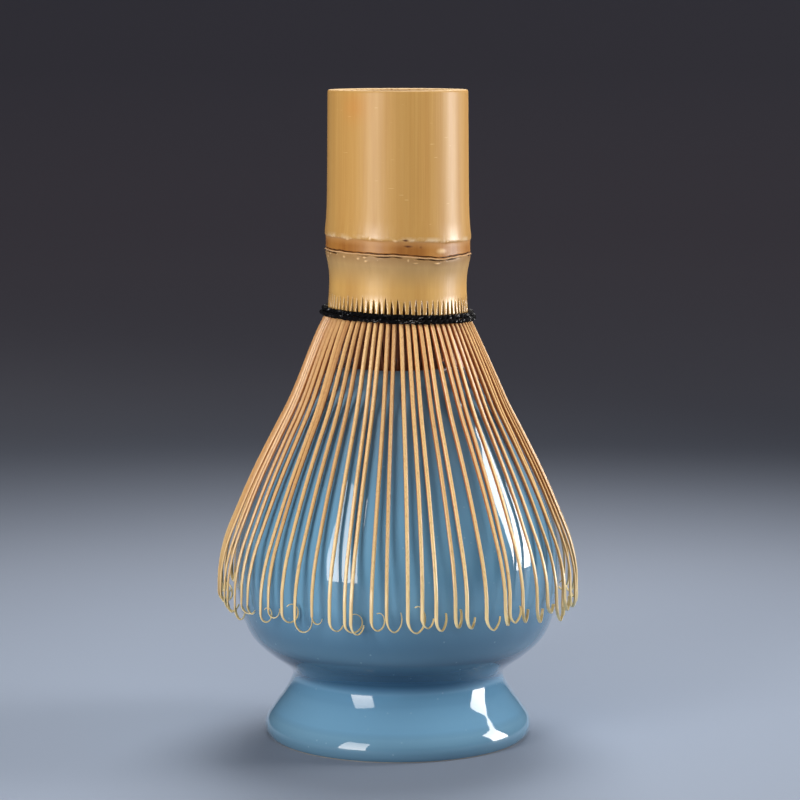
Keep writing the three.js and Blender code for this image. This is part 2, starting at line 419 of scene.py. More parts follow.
def culm_material():
    """Bamboo skin; `cut` is 1 on cut wood and 2 inside, and `crack` is 1 where it is darkest: along the
    dark line round the node, and as painted shade in the grooves beside that line, behind the notches
    and on the backs of the teeth.
    """
    s = Shader("bamboo_culm", Coat_Weight=0.16, Coat_Roughness=0.28)
    grain = {
        "fibre": s.noise(s.stretched(1, 1, 0.012), 2400, 3, 0.6),
        "streak": s.noise(s.stretched(1, 1, 0.02), 700, 4, 0.6),
        "broad": s.noise(s.stretched(1, 1, 0.06), 170, 2),
        "blotch": s.noise(s.stretched(1, 1, 0.4), 60, 3),
    }
    level = s.value("level")
    cut = s.value("cut")
    on_wood = s.spread(cut, 0.4, 0.6)
    pores = s.cells(s.stretched(1, 1, 0.05), 1500)
    wood = s.ramp(pores, (0.1, srgb(160, 112, 62)), (0.3, srgb(214, 176, 118)), (0.8, srgb(226, 192, 136)))
    inside = s.mix(s.spread(grain["blotch"], 0.35, 0.7), srgb(188, 146, 92), srgb(158, 112, 64))
    colour = s.mix(on_wood, culm_skin(s, grain, level), wood)
    colour = s.mix(s.spread(cut, 1.4, 1.6), colour, inside)
    # Dark brown along the node's crack, and painted shade in the grooves by it, behind the notches and on
    # the backs of the teeth.
    colour = s.mix(s.spread(s.value("crack"), 0.25, 0.8), colour, srgb(60, 30, 14))

    # The shaved faces of the teeth are glossy, and so is the flare just over the ridge.
    teeth = s.maths("MULTIPLY", s.spread(level, NOTCH_Z + 0.7, NOTCH_Z - 1), s.spread(cut, 0.6, 0.4))
    over_ridge = s.spread(level, RIDGE_Z + 0.1, RIDGE_Z + 0.4)
    flare = s.maths("MULTIPLY", s.spread(level, RIDGE_Z + 3.7, RIDGE_Z + 0.8, 0, 0.5), over_ridge)
    polish = s.maths("ADD", teeth, flare)
    s.feed(s.bsdf.inputs["Specular IOR Level"], s.spread(polish, 0, 1, 0.35, 0.9))
    rough = s.mix(polish, s.spread(grain["fibre"], 0.3, 0.7, 0.4, 0.5), (0.2, 0.2, 0.2, 1))
    rough = s.mix(on_wood, rough, (0.75, 0.75, 0.75, 1))
    height = s.maths("ADD", grain["fibre"], s.maths("MULTIPLY", grain["streak"], 0.5))
    return s.finish(colour, rough, s.bump(height, 0.03))


# Colours of the tines at the thread, half way and at the tip, and how rough they are.
OUTER_SKIN = (srgb(248, 204, 140), srgb(250, 212, 146), srgb(246, 232, 182))
# The split faces are painted darker and redder towards the thread: painted shade and reflected colour
# among the close tines there, over the wood's own colour.
OUTER_WOOD = (srgb(150, 72, 24), srgb(180, 112, 50), srgb(216, 194, 134))
OUTER_ROUGHNESS = 0.26
# The inner tines are their bamboo colours painted much darker and redder: painted shade, for the shadow
# they stand in inside the outer tines.
INNER_SKIN_IN_PAINTED_SHADE = (srgb(128, 66, 32), srgb(112, 60, 32), srgb(132, 82, 46))
INNER_WOOD_IN_PAINTED_SHADE = (srgb(104, 48, 20), srgb(96, 48, 24), srgb(116, 70, 38))
INNER_ROUGHNESS = 0.55


def tine_material(name, skin, wood, roughness):
    """Split bamboo. `side` is 0 on the skin and 1 on split faces, `along` runs 0 to 2 from the
    thread to the tip, `tine` differs for each tine. skin and wood are each a colour at the
    thread, half way and at the tip."""
    s = Shader(name, Specular_IOR_Level=0.5, Coat_Weight=0.25, Coat_Roughness=0.2)
    fibre = s.noise(s.stretched(1, 1, 0.04), 3800, 3)
    patch = s.noise(s.stretched(1, 1, 0.25), 160, 2)
    along = s.maths("MULTIPLY", s.value("along"), 0.5)
    tone = s.maths("ADD", s.maths("MULTIPLY", s.value("tine"), 0.6), s.maths("MULTIPLY", patch, 0.4))
    face = s.ramp(along, (0.0, skin[0]), (0.32, skin[1]), (0.6, skin[2]))
    split = s.ramp(along, (0.0, wood[0]), (0.32, wood[1]), (0.6, wood[2]))
    face = s.mix(s.maths("MULTIPLY", tone, 0.48), face, split)
    colour = s.mix(s.spread(s.value("side"), 0.35, 0.75), face, split)
    colour = s.mix(s.spread(fibre, 0.5, 0.75, 0, 0.35), colour, wood[0])
    rough = s.spread(fibre, 0.3, 0.7, roughness, roughness + 0.15)
    return s.finish(colour, rough, s.bump(fibre, 0.02))


def thread_material():
    """Black waxed thread: a fine fuzz of fibres, mostly dull, with a few bright glints."""
    s = Shader("black_thread")
    fibre = s.noise(s.stretched(1, 1, 1), 5200, 4, 0.65)
    dust = s.noise(s.stretched(1, 1, 1), 900, 2)
    colour = s.ramp(fibre, (0.3, srgb(2, 2, 3)), (0.62, srgb(5, 5, 8)), (0.85, srgb(22, 25, 32)))
    s.feed(s.bsdf.inputs["Specular IOR Level"], s.spread(dust, 0.42, 0.36, 0.12, 0.9))
    rough = s.spread(dust, 0.38, 0.46, 0.15, 0.85)
    return s.finish(colour, rough, s.bump(fibre, 0.08))


def glaze_material():
    """Blue glaze, paler where it thins over edges and deeper in hollows; greyer towards the mouth, as
    painted shade and reflection; painted shade under the bulb; darker down at the rim of the foot;
    `bare` is 1 where the foot is unglazed."""
    coat = {"Coat_Weight": 1.0, "Coat_Roughness": 0.02, "Coat_IOR": 1.55}
    s = Shader("blue_glaze", Specular_IOR_Level=0.05, **coat)
    cloud = s.noise(s.stretched(1, 1, 1), 45, 3)
    fleck = s.cells(s.stretched(1, 1, 1), 420)
    wave = s.noise(s.stretched(1, 1, 1), 70, 1)
    pool = s.value("pool")
    level = s.value("level")
    glaze = s.mix(s.spread(cloud, 0.3, 0.7), srgb(100, 149, 182), srgb(110, 159, 190))
    # Painted shade and reflection: greyer near the mouth, where the bulb stands in the tines' shadow.
    glaze = s.mix(s.spread(level, 48, 66, 0, 0.7), glaze, srgb(112, 138, 156))
    # Painted shade: dark under the bulb, down to the waist.
    over_waist = s.spread(level, WAIST_Z, WAIST_Z + 2)
    under_bulb = s.spread(level, WAIST_Z + 18, WAIST_Z + 7, 0, 0.95)
    glaze = s.mix(s.maths("MULTIPLY", over_waist, under_bulb), glaze, srgb(6, 46, 82))
    glaze = s.mix(s.spread(level, WAIST_Z, WAIST_Z - 2, 0, 0.8), glaze, srgb(114, 163, 196))
    # Darker towards the bottom of the foot.
    glaze = s.mix(s.spread(level, 5.5, 1.6, 0, 0.95), glaze, srgb(22, 58, 92))
    glaze = s.mix(s.spread(pool, 0.1, 1, 0, 0.35), glaze, srgb(72, 118, 152))
    glaze = s.mix(s.spread(pool, -0.2, -1, 0, 0.5), glaze, srgb(126, 172, 198))
    glaze = s.mix(s.spread(fleck, 0.1, 0.05, 0, 0.35), glaze, srgb(150, 184, 204))
    clay = s.mix(s.spread(cloud, 0.3, 0.7), srgb(226, 218, 204), srgb(206, 194, 176))
    bare = s.spread(s.value("bare"), 0.45, 0.55)
    colour = s.mix(bare, glaze, clay)
    rough = s.mix(bare, s.ramp(cloud, (0.3, 0.06), (0.7, 0.11)), (0.8, 0.8, 0.8, 1))
    return s.finish(colour, rough, s.bump(wave, 0.03))


# ---- the holder -----------------------------------------------------------------------------

HOLDER_COLUMNS = 160
HOLDER_ROWS = 150
LIP_ROWS = 12
BARE_FOOT_Z = 0.3
POOL_ROWS = 13  # how many rows of the outline the glaze's pooling is smoothed over
POOL_GAIN = 14
UNEVEN = 0.06  # how far the holder is from truly round
EVEN_FOOT_Z = 10  # it gets rounder below this height


def make_holder(material):
    outside = smooth_line(HOLDER_OUTSIDE, HOLDER_ROWS)
    outside[:, 1] *= HOLDER_TOP_Z / HOLDER_OUTSIDE[-1][1]
    along = np.gradient(outside, axis=0)
    along /= np.linalg.norm(along, axis=1)[:, None]
    inside = outside + HOLDER_WALL * np.column_stack([-along[:, 1], along[:, 0]])
    inside = inside[inside[:, 1] > HOLDER_FOOT[0][1]]
    crest = outside[-1] - (0, HOLDER_WALL / 2)
    half_turn = np.linspace(math.pi / 2, 3 * math.pi / 2, LIP_ROWS + 2)[1:-1]
    lip = crest + HOLDER_WALL / 2 * np.column_stack([np.cos(half_turn), np.sin(half_turn)])
    outline = np.vstack([outside, lip, inside[::-1], HOLDER_FOOT])
    bend = np.gradient(np.unwrap(np.arctan2(*np.gradient(outline, axis=0).T[::-1])))
    window = np.hanning(POOL_ROWS)
    pool = -np.convolve(bend, window / window.sum(), "same") * POOL_GAIN
    angles = np.arange(HOLDER_COLUMNS) * TURN / HOLDER_COLUMNS
    uneven = wobble(angles, 5, (2, 3, 5), UNEVEN)
    b = Builder("pool", "bare", "level")
    rings = []
    for (radius, z), hollow in zip(outline, pool):
        bare = float(z < BARE_FOOT_Z)
        ring = ring_points(angles, radius + uneven * min(1, z / EVEN_FOOT_Z), z)
        rings.append(b.add(ring, pool=hollow, bare=bare, level=z))
    for k, ring in enumerate(rings):
        b.bridge(ring, rings[(k + 1) % len(rings)])
    b.finish("holder_body", "holder", "blue_glaze", ["ceramic_holder"], material, slant=False)


# ---- the handle -----------------------------------------------------------------------------

COLUMNS_PER_TINE = 6
CULM_STEPS = 400  # along the smooth outline of the skin
TOOTH_ROWS = 8
TOOTH_LOW_Z = 83.05
TOOTH_GAP = 0.24
TOOTH_GAP_FULL = 0.65  # the share of a tooth's length by which the gap has opened
TOOTH_DEPTH = (1.5, 0.45)  # from front to back, at the notches and at the thread
TOOTH_SHAVED = 0.12
# The front edges of the teeth also get painted shade from the notches.
TOOTH_EDGE = 0.45  # how cut and how dark the front edges of a tooth look
NOTCH_JITTER = 0.6  # how unevenly the notches start
NOTCH_BACK = 0.3  # how much higher the notches start behind
WALL_LOW_R = 10.9
BORE_R = 10.2
DIAPHRAGM_LOW_Z = 94.4
DIAPHRAGM_DIP_Z = 96.5

# The rounded edge of the sawn end: in from the skin, down from the top, and `cut`.
SAWN_EDGE = [(0.02, 0.3, 0), (0.1, 0.12, 0), (0.24, 0.03, 1), (0.4, 0.0, 1)]
SAW_MARKS = 0.03
# From the sawn end down the bore to the top of the diaphragm: radius, height, and `cut`.
BORE_LINE = [
    (12.2, TOP_Z - 0.02, 1), (11.2, TOP_Z - 0.02, 1), (BORE_R + 0.35, TOP_Z - 0.02, 1),
    (BORE_R + 0.05, TOP_Z - 0.15, 1), (BORE_R, TOP_Z - 0.5, 2), (BORE_R - 0.05, 118, 2),
    (BORE_R, 110, 2), (BORE_R - 0.05, 103, 2), (BORE_R - 0.1, 99.6, 2), (BORE_R - 0.7, 98.3, 2),
    (BORE_R - 2, 97.4, 2), (6, 97.0, 2), (3, 96.6, 2), (0.8, DIAPHRAGM_DIP_Z, 2),
]
# Under the diaphragm and down to the inner edge of the wall: radius and height.
HOLLOW_LINE = [
    (0.8, DIAPHRAGM_LOW_Z), (3, DIAPHRAGM_LOW_Z), (6, DIAPHRAGM_LOW_Z - 0.1),
    (BORE_R - 2, DIAPHRAGM_LOW_Z - 0.3), (BORE_R - 0.2, 93.4), (BORE_R + 0.4, 92.0),
    (WALL_LOW_R - 0.1, 89), (WALL_LOW_R, NOTCH_Z + NOTCH_BACK),
]

CRACK_DIP = (0.45, 36, 17)  # how far the crack sags, mm; where, and over what width, degrees
CRACK_JAG = (0.13, 1.6)  # how ragged the crack is, and over what height that fades
RIDGE_JAG = (0.09, 1.3)
# Bands along the crack: how deep or how raised, height over the crack, and half width.
UPPER_GROOVE = (0.28, 0.27, 0.1)
LOWER_GROOVE = (0.3, -0.31, 0.12)
LIP = (0.17, 0, 0.15)
PALE_LIP = (1, 0, 0.13)
# Painted shade: the grooves are painted darker the deeper they are.
CRACK_DARKNESS = 4  # for each mm of a groove's depth

# Scars and torn bits round the node: degrees from the front, height, half width and half
# height, how far it stands out, and its tone (dark is above 0, pale is below).
NODE_MARKS = [
    (6, 98.0, 0.5, 0.18, -0.15, 1), (8, 96.9, 0.75, 0.2, -0.15, 0.9),
    (18, 96.8, 0.3, 0.2, -0.06, 0.5), (36, 96.3, 1.0, 0.4, 0.12, -0.8),
    (-2, 97.8, 0.4, 0.22, 0.1, -0.9), (-22, 98.0, 0.25, 0.3, 0.12, -1),
    (-43, 97.7, 0.4, 0.16, 0.1, -0.8), (-63, 97.9, 0.3, 0.2, 0.1, -0.8),
    (-27, 94.45, 0.3, 0.22, 0.16, -1), (-47, 94.2, 0.3, 0.24, 0.14, -0.7),
    (-56, 94.65, 0.3, 0.2, 0.14, -0.8), (14, 93.8, 0.45, 0.16, 0.1, -0.6),
    (8, 94.25, 0.14, 0.3, 0.12, -0.9), (32, 94.0, 0.5, 0.2, 0.2, -1),
]
CHIPS = 46
WARM_SPOT = (-37, 122.8, 2.5)  # an orange stain: degrees from the front, height and size

# Rows on the culm's skin, close together round the crack and the ridge: from, to, and how many.
SKIN_TOP_Z = TOP_Z - 0.5
SKIN_SPANS = [
    (NOTCH_Z, 92.6, 14), (92.6, 93.4, 4), (93.4, 94.4, 11), (94.4, 95.6, 22), (95.6, 97.4, 12),
    (97.4, 98.2, 14), (98.2, 99.6, 6), (99.6, 103, 6), (103, SKIN_TOP_Z, 14),
]


def culm_levels():
    spans = [np.linspace(low, high, rows, endpoint=False) for low, high, rows in SKIN_SPANS]
    return np.concatenate(spans + [[SKIN_TOP_Z]])


def band(offset, size, place, width):
    return size * bell(offset - place, width)


def node_marks():
    """The marks seen from the front, and small chips under the crack and along the ridge."""
    draw = random.Random(16)
    marks = list(NODE_MARKS)
    for _ in range(CHIPS):
        height = draw.choice((draw.uniform(93.7, 94.6), draw.gauss(97.85, 0.1)))
        size = draw.uniform(0.12, 0.3)
        place, raised = draw.uniform(-180, 180), draw.uniform(0.03, 0.1)
        marks.append((place, height, size, size * 0.7, raised, -draw.random()))
    return marks


def add_skin_rows(b, angles, skin_r, tips):
    """Rows of the culm's skin from the notches to just under the sawn end."""
    dip, dip_place, dip_width = CRACK_DIP
    jag = wobble(angles, 11, (1, 3, 5, 9, 14, 23, 37), CRACK_JAG[0])
    jag -= dip * bell(turned_from(dip_place, angles), dip_width)
    ridge = wobble(angles, 12, (2, 3, 5, 8, 13, 21, 34), RIDGE_JAG[0])
    upper = np.clip(0.95 + wobble(angles, 13, (5, 9, 16, 29, 47), 0.4), 0.3, 1.3)
    lower = np.clip(0.5 + wobble(angles, 17, (3, 7, 13, 24, 41), 0.7), 0, 1.2)
    lip = np.clip(0.8 + wobble(angles, 18, (4, 11, 23, 37, 61), 0.5), 0.1, 1.6)
    marks = node_marks()
    rows = []
    for level in culm_levels():
        offset = level - NODE_Z
        z = level + jag * bell(offset, CRACK_JAG[1]) + ridge * bell(level - RIDGE_Z, RIDGE_JAG[1])
        if level == NOTCH_Z:
            z = z + tips
        groove = upper * band(offset, *UPPER_GROOVE) + lower * band(offset, *LOWER_GROOVE)
        radius = skin_r(level) - groove + lip * band(offset, *LIP)
        spot = np.zeros(len(angles))
        for place, height, half_width, half_height, raised, tone in marks:
            if abs(level - height) < 3 * half_height:
                sideways = np.radians(turned_from(place, angles)) * skin_r(level)
                mark = bell(sideways, half_width) * bell(level - height, half_height)
                radius = radius + raised * mark
                spot += tone * mark
        sideways = np.radians(turned_from(WARM_SPOT[0], angles)) * skin_r(level)
        warm = bell(np.hypot(sideways, level - WARM_SPOT[1]), WARM_SPOT[2])
        # The darkness grows with the grooves' depth: painted shade in them.
        crack, pale = groove * CRACK_DARKNESS, band(offset, *PALE_LIP)
        ring = ring_points(angles, radius, z)
        rows.append(b.add(ring, level=level, crack=crack, lip=pale, spot=spot, warm=warm))
    return rows


def make_handle(material):
    columns = TINES * COLUMNS_PER_TINE
    angles = np.arange(columns) / COLUMNS_PER_TINE * PITCH
    line = smooth_line(CULM_OUTSIDE, CULM_STEPS)

    def skin_r(z):
        return np.interp(z, line[:, 0], line[:, 1])

    draw = random.Random(14)
    tips = np.zeros(columns)
    tips[::COLUMNS_PER_TINE] = [draw.uniform(-NOTCH_JITTER, NOTCH_JITTER) for _ in range(TINES)]
    b = Builder("level", "cut", "crack", "lip", "spot", "warm")
    rows = add_skin_rows(b, angles, skin_r, tips)
    notch_row = rows[0]
    for inset, below, cut in SAWN_EDGE:
        ring = ring_points(angles, skin_r(TOP_Z) - inset, TOP_Z - below)
        rows.append(b.add(ring, level=TOP_Z, cut=cut))
    saw = wobble(angles, 15, (9, 14, 23), SAW_MARKS)
    for radius, z, cut in BORE_LINE:
        rows.append(b.add(ring_points(angles, radius + saw, z), cut=cut))
    for low, high in zip(rows, rows[1:]):
        b.bridge(low, high)
    b.fan(rows[-1], b.add([(0, 0, DIAPHRAGM_DIP_Z)], cut=2)[0])

    under = [b.add(ring_points(angles, radius, z), cut=2) for radius, z in HOLLOW_LINE]
    wall_r = skin_r(NOTCH_Z) - TOOTH_DEPTH[0]
    # The wall behind the notches is painted dark: painted shade.
    behind = b.add(ring_points(angles, wall_r, NOTCH_Z + NOTCH_BACK + tips), cut=1, crack=1)
    for high, low in zip(under, under[1:] + [behind]):
        b.bridge(high, low)
    b.fan(under[0], b.add([(0, 0, DIAPHRAGM_LOW_Z)], cut=2)[0])
    add_teeth(b, angles, skin_r, tips, notch_row, behind)
    b.finish("handle_culm", "whisk", "bamboo_skin", ["handle"], material)


def add_teeth(b, angles, skin_r, tips, notch_row, behind):
    """Teeth: each narrows from the full pitch at the notches to a tine's width under the thread."""
    columns = len(angles)
    place = np.linspace(-1, 1, COLUMNS_PER_TINE + 1)
    for tooth in range(TINES):
        first = tooth * COLUMNS_PER_TINE
        across = [(first + k) % columns for k in range(COLUMNS_PER_TINE + 1)]
        front, back = notch_row[across], behind[across]
        for step in range(1, TOOTH_ROWS + 1):
            share = step / TOOTH_ROWS
            z = NOTCH_Z + (TOOTH_LOW_Z - NOTCH_Z) * share
            gap = TOOTH_GAP * min(1, share / TOOTH_GAP_FULL) ** 0.8
            half = PITCH / 2 - gap / skin_r(z)
            spread = angles[first] + PITCH / 2 + half * place
            shaved = TOOTH_SHAVED * share * place**4
            depth = TOOTH_DEPTH[0] + (TOOTH_DEPTH[1] - TOOTH_DEPTH[0]) * share
            edge = TOOTH_EDGE * (np.abs(place) > 0.99)
            drop = tips[across] * (1 - share) ** 2
            front_line = ring_points(spread, skin_r(z) - shaved, z + drop)
            back_line = ring_points(spread, skin_r(z) - depth, z + drop)
            # Painted shade from the notches: dark on the backs of the teeth, a little on their front
            # edges.
            next_front = b.add(front_line, level=z, cut=edge, crack=edge)
            next_back = b.add(back_line, cut=1, crack=0.8)
            b.bridge(front, next_front, closed=False)
            b.bridge(next_back, back, closed=False)
            b.faces.append((front[0], back[0], next_back[0], next_front[0]))
            b.faces.append((back[-1], front[-1], next_front[-1], next_back[-1]))
            front, back = next_front, next_back
        b.bridge(front, back, closed=False)


# ---- tines ----------------------------------------------------------------------------------

# Section of a tine: across, through, and 1 where the surface is split wood and not skin.
TINE_SECTION = [
    (-0.5, 0.05, 1), (-0.44, 0.3, 0.7), (-0.28, 0.5, 0), (0.2, 0.5, 0), (0.42, 0.22, 0.2),
    (0.5, 0.0, 0.6), (0.48, -0.42, 1), (0.36, -0.5, 1), (-0.36, -0.5, 1), (-0.48, -0.42, 1),
]
STEM_STEPS = 30
CURL_STEPS = 26
TINE_WIDTH = (0.9, 0.68)  # under the thread, and where the curl starts
TIP_WIDTH = (0.2, 0.5)  # least and most
FOLDED_TIP_WIDTH = 0.62
WIDTH_VARIES = (0.92, 1.06)
FOLDED_SIDE = (55, 38)  # middle of the tightly folded curls, degrees from the front, and its reach
BROWN_SIDE = (-72, 34)  # middle of the browner tines, degrees from the front, and its reach
TINE_THICKNESS = (0.8, 0.32, 0.12)  # under the thread, where the curl starts, and at the tip
SKIN_OUT = 0.2  # from a tine's middle line to its skin, at most
TWIST_SPAN = (0.86, 1.16)  # where a tine turns its face towards its curl; 1 is the curl's start
CLEAR_OF_NEIGHBOUR = 0.75
CLEAR_OF_BULB = 0.35
TRIES = 60
LOOSE_SWEEPS = (125, 145, 165, 185, 205, 240, 300)  # how far a loose curl turns, degrees
FOLDED_SWEEPS = (165, 215)  # and a folded one, least and most
LEAN = 0.7  # how far the tips drift sideways together


def tine_angle(index):
    return (index + 0.5) * PITCH


def on_side(index, side):
    """1 for a tine in the middle of a side, falling to 0 elsewhere."""
    place, reach = side
    return float(bell(turned_from(place, tine_angle(index)), reach))


def draw_tine(draw, lean, right):
    """Random differences of one outer tine; lean is how far its tip drifts sideways, in mm, and
    right is 1 on the side where the curls are folded tight and lie along the row.
    `turn` is how far the curl turns off the inward line, `wide` and `tall` are its size,
    `fold` flattens it, `sweep` is how far it goes round and `closing` how much it tightens."""
    turn = draw.gauss(52 + 34 * right, 15 - 6 * right)
    sweep = draw.choice(LOOSE_SWEEPS) * (1 - right) + draw.uniform(*FOLDED_SWEEPS) * right
    return {
        "lean": lean + draw.gauss(0, 0.48),
        "bow": draw.gauss(0, 0.25),
        "pull": -abs(draw.gauss(0, 0.3)),
        "drop": draw.uniform(-0.8, 0.8),
        "turn": math.radians(min(98, max(20, turn))),
        "wide": draw.uniform(1.2, 2.1) - 0.4 * right,
        "tall": draw.uniform(1.7, 2.9) + 0.3 * right,
        "fold": 1 + 0.75 * right,
        "sweep": math.radians(sweep + draw.uniform(-12, 12)),
        "closing": draw.uniform(0.15, 0.45) * (1 - right),
    }


def spun(points, angle):
    """The points turned about the axis by this angle."""
    c, s = math.cos(angle), math.sin(angle)
    return points @ np.array([[c, s, 0], [-s, c, 0], [0, 0, 1]])


def tine_line(index, how):
    """Middle line of an outer tine, the direction of its width at each point, and its share done."""
    stem = smooth_line(OUTER_STEM, STEM_STEPS + 1)
    run = np.linspace(0, 1, STEM_STEPS + 1)
    side = how["lean"] * run**1.15 + how["bow"] * np.sin(math.pi * run)
    radius, height = stem.T + (how["pull"] * run**2, how["drop"] * run**4)
    points = np.column_stack([radius, side, height])
    inwards = np.array([-math.cos(how["turn"]), math.sin(how["turn"]), 0])
    down = points[-1] - points[-2]
    down /= np.linalg.norm(down)
    centre = points[-1] + how["wide"] * inwards
    share = np.arange(1, CURL_STEPS + 1) / CURL_STEPS
    angle = how["sweep"] * share
    shrink = 1 - how["closing"] * share
    level = how["wide"] * shrink * np.sign(np.cos(angle)) * np.abs(np.cos(angle)) ** how["fold"]
    fall = how["tall"] * shrink * np.sin(angle)
    points = np.vstack([points, centre - level[:, None] * inwards + fall[:, None] * down])
    done = np.concatenate([run, 1 + share])
    turn = how["turn"] * smoothstep(*TWIST_SPAN, done)
    across = np.column_stack([np.sin(turn), np.cos(turn), np.zeros(len(turn))])
    return spun(points, tine_angle(index)), spun(across, tine_angle(index)), done


def clearance(a, b):
    """Least distance between the lower halves of two tines' middle lines."""
    a, b = a[STEM_STEPS // 2:], b[STEM_STEPS // 2:]
    return np.linalg.norm(a[:, None] - b[None], axis=2).min()


def clear_of_bulb(points):
    """True if the curl stays outside the holder's bulb, with room to lift past its widest part."""
    radius = np.hypot(points[STEM_STEPS:, 0], points[STEM_STEPS:, 1])
    return radius.min() > max(r for r, z in HOLDER_OUTSIDE) + CLEAR_OF_BULB


def outer_tine_lines():
    """Every outer tine, drawn again until it is clear of its neighbour and of the bulb."""
    draw = random.Random(23)
    angles = np.array([tine_angle(k) for k in range(TINES)])
    lean = wobble(angles, 24, (5, 9, 14, 22, 31), LEAN)
    lines = []
    for index in range(TINES):
        best, best_gap = None, -1.0
        for _ in range(TRIES):
            made = tine_line(index, draw_tine(draw, lean[index], on_side(index, FOLDED_SIDE)))
            if not clear_of_bulb(made[0]):
                continue
            gaps = [clearance(made[0], lines[-1][0])] if lines else [CLEAR_OF_NEIGHBOUR]
            if index == TINES - 1:
                gaps.append(clearance(made[0], lines[0][0]))
            if min(gaps) > best_gap:
                best, best_gap = made, min(gaps)
            if best_gap >= CLEAR_OF_NEIGHBOUR:
                break
        lines.append(best)
    return lines


def add_strip(b, points, across, widths, thicknesses, done, tone):
    """A closed strip along a line, with the tine's section."""
    along = np.gradient(points, axis=0)
    along /= np.linalg.norm(along, axis=1)[:, None]
    face = np.cross(along, across)
    face /= np.linalg.norm(face, axis=1)[:, None]
    side = [entry[2] for entry in TINE_SECTION]
    rings = []
    for k in range(len(points)):
        inwards = max(0, thicknesses[k] / 2 - SKIN_OUT)
        corners = [
            points[k] + across[k] * u * widths[k] + face[k] * (v * thicknesses[k] - inwards)
            for u, v, _ in TINE_SECTION
        ]
        rings.append(b.add(corners, side=side, tine=tone, along=done[k]))
    for upper, lower in zip(rings, rings[1:]):
        b.bridge(upper, lower)
    b.cap(rings[0])
    b.cap(rings[-1][::-1])


def make_outer_tines(material):
    draw = random.Random(25)
    lines = outer_tine_lines()
    for split in range(SPLITS):
        b = Builder("side", "tine", "along")
        for k in range(TINES_PER_SPLIT):
            index = split * TINES_PER_SPLIT + k
            points, across, done = lines[index]
            tip = draw.uniform(*TIP_WIDTH)
            tip += (FOLDED_TIP_WIDTH - tip) * on_side(index, FOLDED_SIDE)
            widths = np.interp(done, (0, 1, 2), (*TINE_WIDTH, tip))
            widths = widths * draw.uniform(*WIDTH_VARIES)
            thicknesses = np.interp(done, (0, 1, 2), TINE_THICKNESS)
            tone = draw.random() + on_side(index, BROWN_SIDE)
            add_strip(b, points, across, widths, thicknesses, done, tone)
        number = f"{split + 1:02d}"
        name, body, nodes = f"outer_tine_row_{number}", f"tines_{number}", [f"outer_tines_{number}"]
        b.finish(name, body, "bamboo_outer_tines", nodes, material, crisp=True)


INNER_STEPS = 24
INNER_WIDTH = (0.85, 0.6, 0.3)  # at the notches, at the holder's mouth, at the tip
INNER_THICKNESS = (0.6, 0.5, 0.2)
MOUTH_SHARE = 0.4  # of an inner tine's length, where it passes the mouth


def make_inner_tines(material):
    draw = random.Random(31)
    for split in range(SPLITS):
        b = Builder("side", "tine", "along")
        for k in range(TINES_PER_SPLIT):
            stem = smooth_line(INNER_STEM, INNER_STEPS + 1)
            run = np.linspace(0, 1, INNER_STEPS + 1)
            lean = draw.gauss(0, 0.1) * run
            pull = -abs(draw.gauss(0, 0.22)) * run
            drop = draw.uniform(-1, 1) * run**3
            points = np.column_stack([stem[:, 0] + pull, lean, stem[:, 1] + drop])
            angle = tine_angle(split * TINES_PER_SPLIT + k) - PITCH / 2
            across = np.tile(spun(np.array([0, 1, 0]), angle), (len(points), 1))
            widths = np.interp(run, (0, MOUTH_SHARE, 1), INNER_WIDTH)
            thicknesses = np.interp(run, (0, MOUTH_SHARE, 1), INNER_THICKNESS)
            add_strip(b, spun(points, angle), across, widths, thicknesses, run, draw.random())
        number = f"{split + 1:02d}"
        name, nodes = f"inner_tine_row_{number}", [f"inner_tines_{number}"]
        b.finish(name, "whisk", "bamboo_inner_tines", nodes, material)


# ---- thread ---------------------------------------------------------------------------------

PLIES = 3
PLY_R = 0.26
PLY_OFFSET = 0.24  # from the middle of a ply to the middle of the thread
STEPS_PER_TINE = 10
PLY_SIDES = 8
OVER_TINES = 0.13  # how far the thread rises over each tine
UNEVEN_WINDING = 0.06
KNOT_SCALE = 0.21
KNOT_THREAD_R = 0.17
KNOT_STEPS = 90
ROUNDS = {  # node: radius of the round's middle, height, turns of its twist
    "thread_upper_round": (14.22, 83.52, 25),
    "thread_lower_round": (14.62, 82.7, 23),
    "thread_inside_round": (12.5, 83.0, 24),
}


def add_tube(b, points, radius, sides):
    """A closed loop of tube along a closed line."""
    along = np.roll(points, -1, axis=0) - np.roll(points, 1, axis=0)
    along /= np.linalg.norm(along, axis=1)[:, None]
    out = points * (1, 1, 0)
    out /= np.linalg.norm(out, axis=1)[:, None]
    up = np.cross(along, out)
    up /= np.linalg.norm(up, axis=1)[:, None]
    out = np.cross(up, along)
    rings = []
    for k in range(len(points)):
        angle = np.arange(sides)[:, None] * TURN / sides
        rings.append(b.add(points[k] + radius * (out[k] * np.cos(angle) + up[k] * np.sin(angle))))
    for k, ring in enumerate(rings):
        b.bridge(ring, rings[(k + 1) % len(rings)])


def make_thread(material):
    angles = np.arange(TINES * STEPS_PER_TINE) * PITCH / STEPS_PER_TINE
    for seed, (node, (radius, z, turns)) in enumerate(ROUNDS.items()):
        b = Builder()
        over_tines = OVER_TINES * np.cos(TINES * (angles - tine_angle(0)))
        lift = wobble(angles, 40 + seed, (7, 12, 19, 36), UNEVEN_WINDING)
        for ply in range(PLIES):
            twist = turns * angles + ply * TURN / PLIES
            r = radius + over_tines + PLY_OFFSET * np.cos(twist)
            height = z + lift + PLY_OFFSET * np.sin(twist)
            add_tube(b, ring_points(angles, r, height), PLY_R, PLY_SIDES)
        b.finish(node.replace("round", "cord"), "whisk", "black_thread", [node], material)


